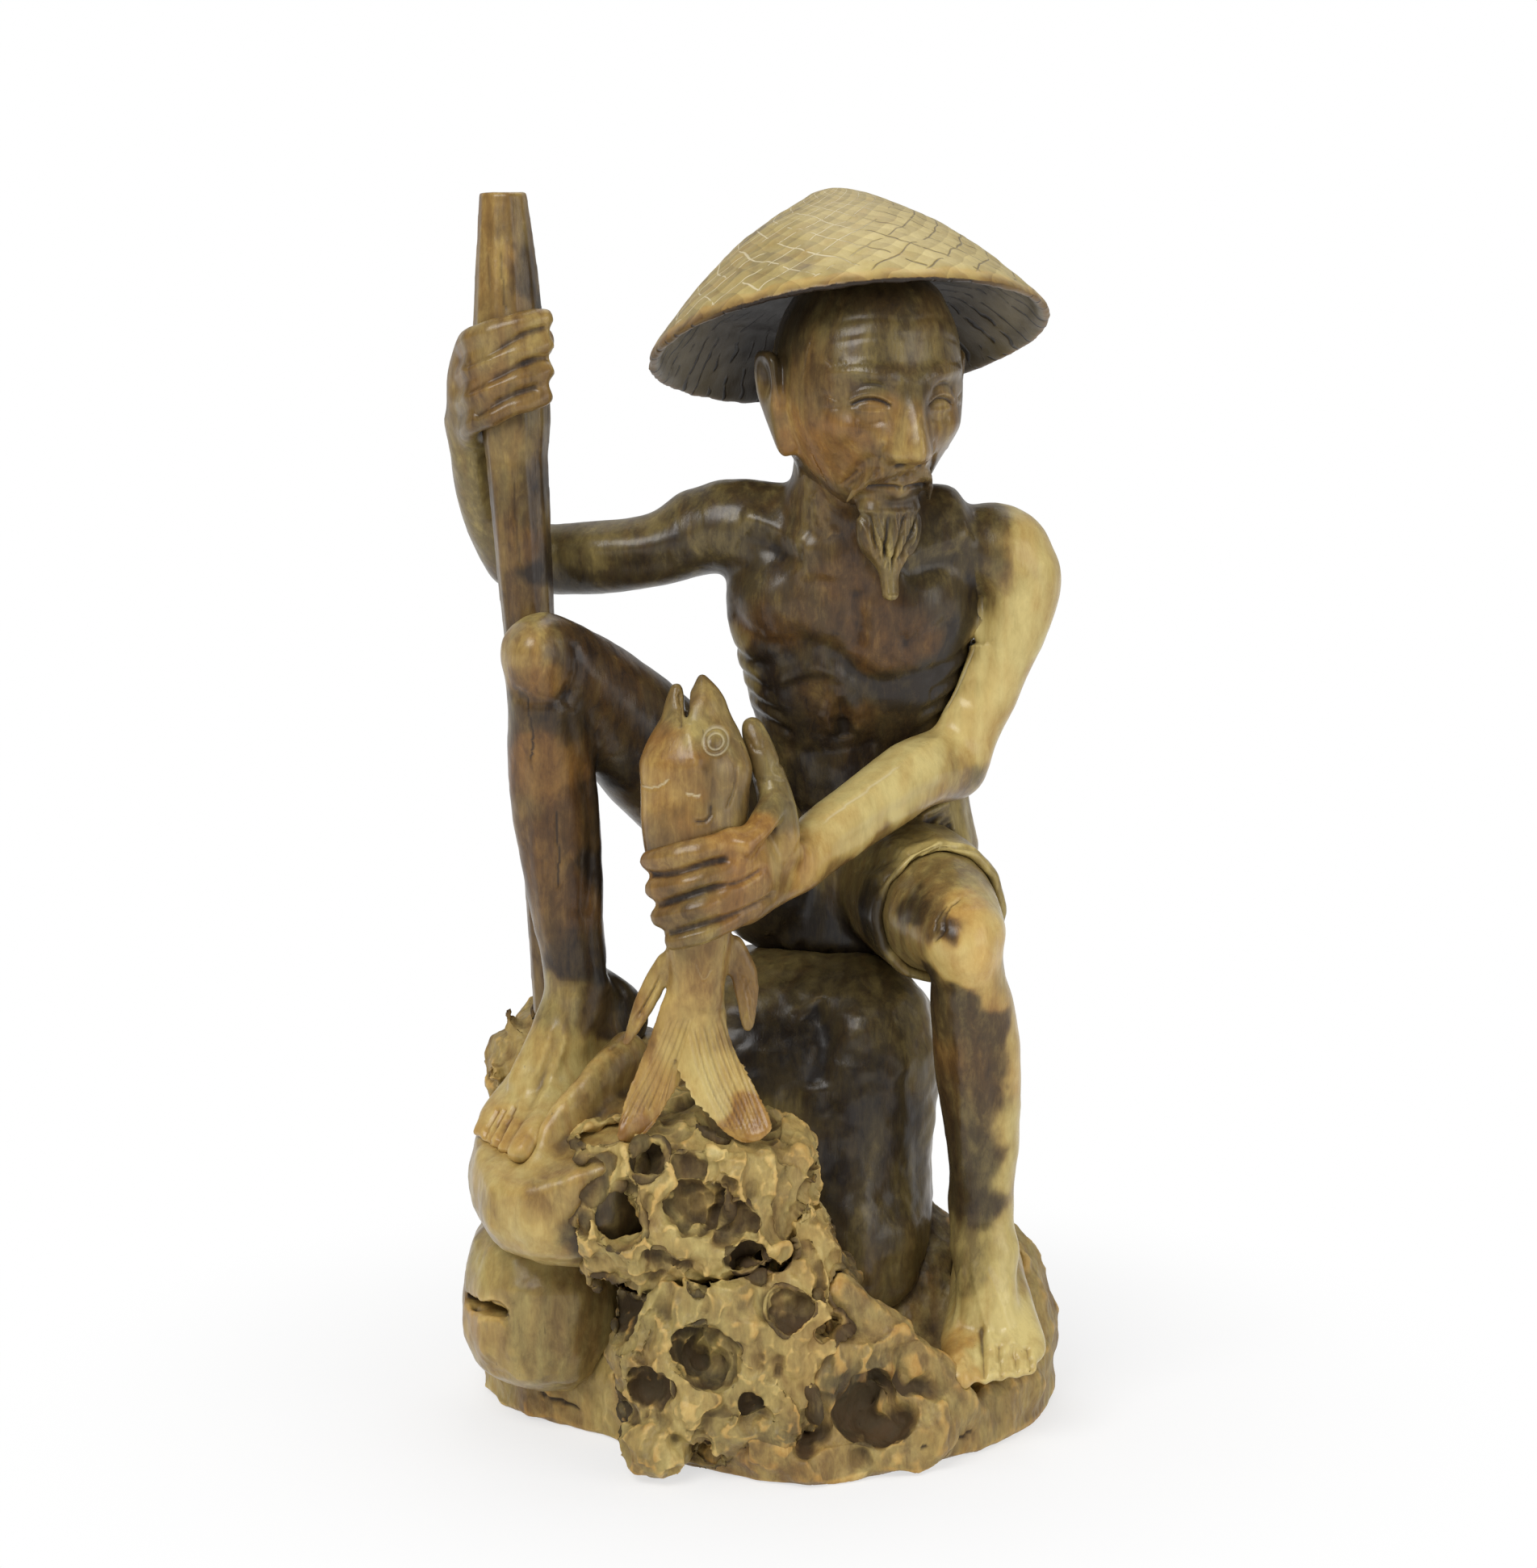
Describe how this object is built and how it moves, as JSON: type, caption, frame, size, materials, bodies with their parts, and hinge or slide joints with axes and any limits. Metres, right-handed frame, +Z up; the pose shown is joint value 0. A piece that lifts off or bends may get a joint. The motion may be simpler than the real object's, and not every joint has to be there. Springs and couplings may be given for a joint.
{
  "type": "carved wooden figure",
  "caption": "Carved wooden ornament: an old fisherman in a wide conical hat sits on rocks, holding a tall staff and a hanging fish, on a flat-bottomed rocky base.",
  "frame": {"origin": "centre of the flat underside of the rocky base, on the plane it rests on", "axes": "+Z up, -Y towards the viewer of the picture, which is the front, +X to that viewer's right, which is the figure's own left"},
  "size_m": [0.2519, 0.2413, 0.5026],
  "materials": {
    "dark_heartwood": "waxed, softly glossy, dark brown heartwood with reddish patches",
    "mid_wood": "waxed, softly glossy, mid brown wood",
    "pale_sapwood": "waxed, softly glossy, pale yellow sapwood",
    "hat_wood": "thin waxed pale wood, carved with a woven pattern",
    "rock_wood": "dull waxed wood, gouged and pitted"
  },
  "bodies": {
    "root": {"torso": "dark_heartwood", "head": "mid_wood", "hat": "hat_wood", "right_arm": "mid_wood", "left_arm": "pale_sapwood", "walking_staff": "mid_wood", "fish": "mid_wood", "short_trousers": "mid_wood", "right_leg": "dark_heartwood", "left_leg": "pale_sapwood", "rock_base": "rock_wood", "seat_boulder": "dark_heartwood", "foot_boulder": "rock_wood", "low_boulder": "rock_wood", "staff_outcrop": "rock_wood", "upper_outcrop": "rock_wood", "lower_outcrop": "rock_wood"}
  },
  "joints": []
}
